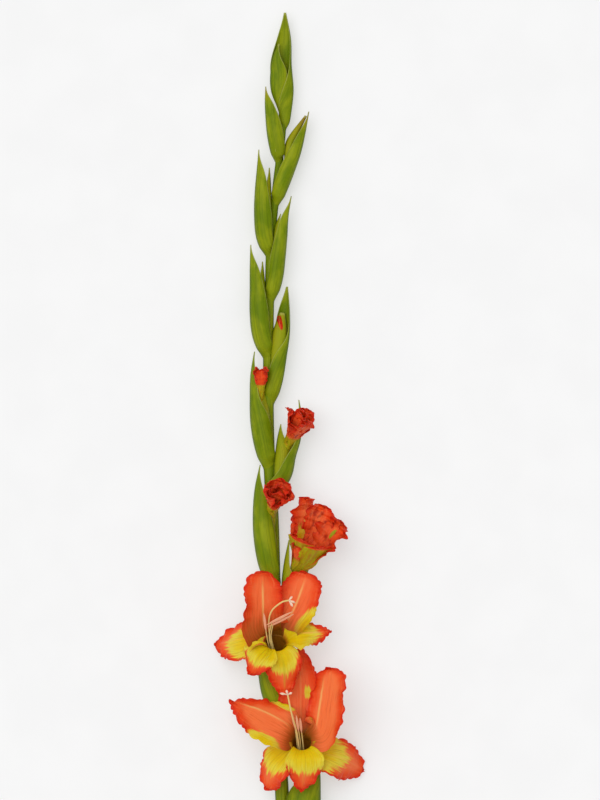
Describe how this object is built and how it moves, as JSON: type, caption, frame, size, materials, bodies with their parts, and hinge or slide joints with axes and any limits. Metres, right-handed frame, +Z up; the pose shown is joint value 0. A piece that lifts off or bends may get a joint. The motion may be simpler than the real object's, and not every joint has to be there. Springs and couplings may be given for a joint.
{
  "type": "cut gladiolus",
  "caption": "A cut gladiolus spike lying down: ruffled open blooms low on a bare stem, then half-open and closed buds in overlapping green bracts up to the tip.",
  "frame": {"origin": "middle of the overall length and width, on the surface that the spike lies on", "axes": "+Y up the stem from the cut end to the tip, +Z up from the surface, the way the blooms face, +X to the right seen from above with the tip ahead"},
  "size_m": [0.1204, 0.8603, 0.0521],
  "materials": {
    "stem": "satin",
    "bract": "satin",
    "inner_bract": "satin",
    "tepal": "satin",
    "bud_tepal": "satin",
    "stamen": "matte",
    "style": "matte"
  },
  "bodies": {
    "root": {"stem": "stem", "bract_outer_01": "bract", "bract_outer_02": "bract", "bract_outer_03": "bract", "bract_outer_04": "bract", "bract_outer_05": "bract", "bract_outer_06": "bract", "bract_outer_07": "bract", "bract_outer_08": "bract", "bract_outer_09": "bract", "bract_outer_10": "bract", "bract_outer_11": "bract", "bract_outer_12": "bract", "bract_outer_13": "bract", "bract_inner_03": "inner_bract", "bract_inner_04": "inner_bract", "bract_inner_05": "inner_bract", "bract_inner_06": "inner_bract", "bract_inner_07": "inner_bract", "bract_inner_08": "inner_bract", "bract_inner_09": "inner_bract", "bract_inner_10": "inner_bract", "bract_inner_11": "inner_bract", "bract_inner_12": "inner_bract", "bract_inner_13": "inner_bract", "bloom_1": "tepal", "bloom_2": "tepal", "bloom_3": "tepal", "bloom_4": "bud_tepal", "bloom_5": "bud_tepal", "bloom_6": "bud_tepal", "bloom_7": "bud_tepal", "stamen_1_a": "stamen", "stamen_1_b": "stamen", "stamen_1_c": "stamen", "stamen_2_a": "stamen", "stamen_2_b": "stamen", "stamen_2_c": "stamen", "style_1": "style", "style_2": "style"}
  },
  "joints": []
}
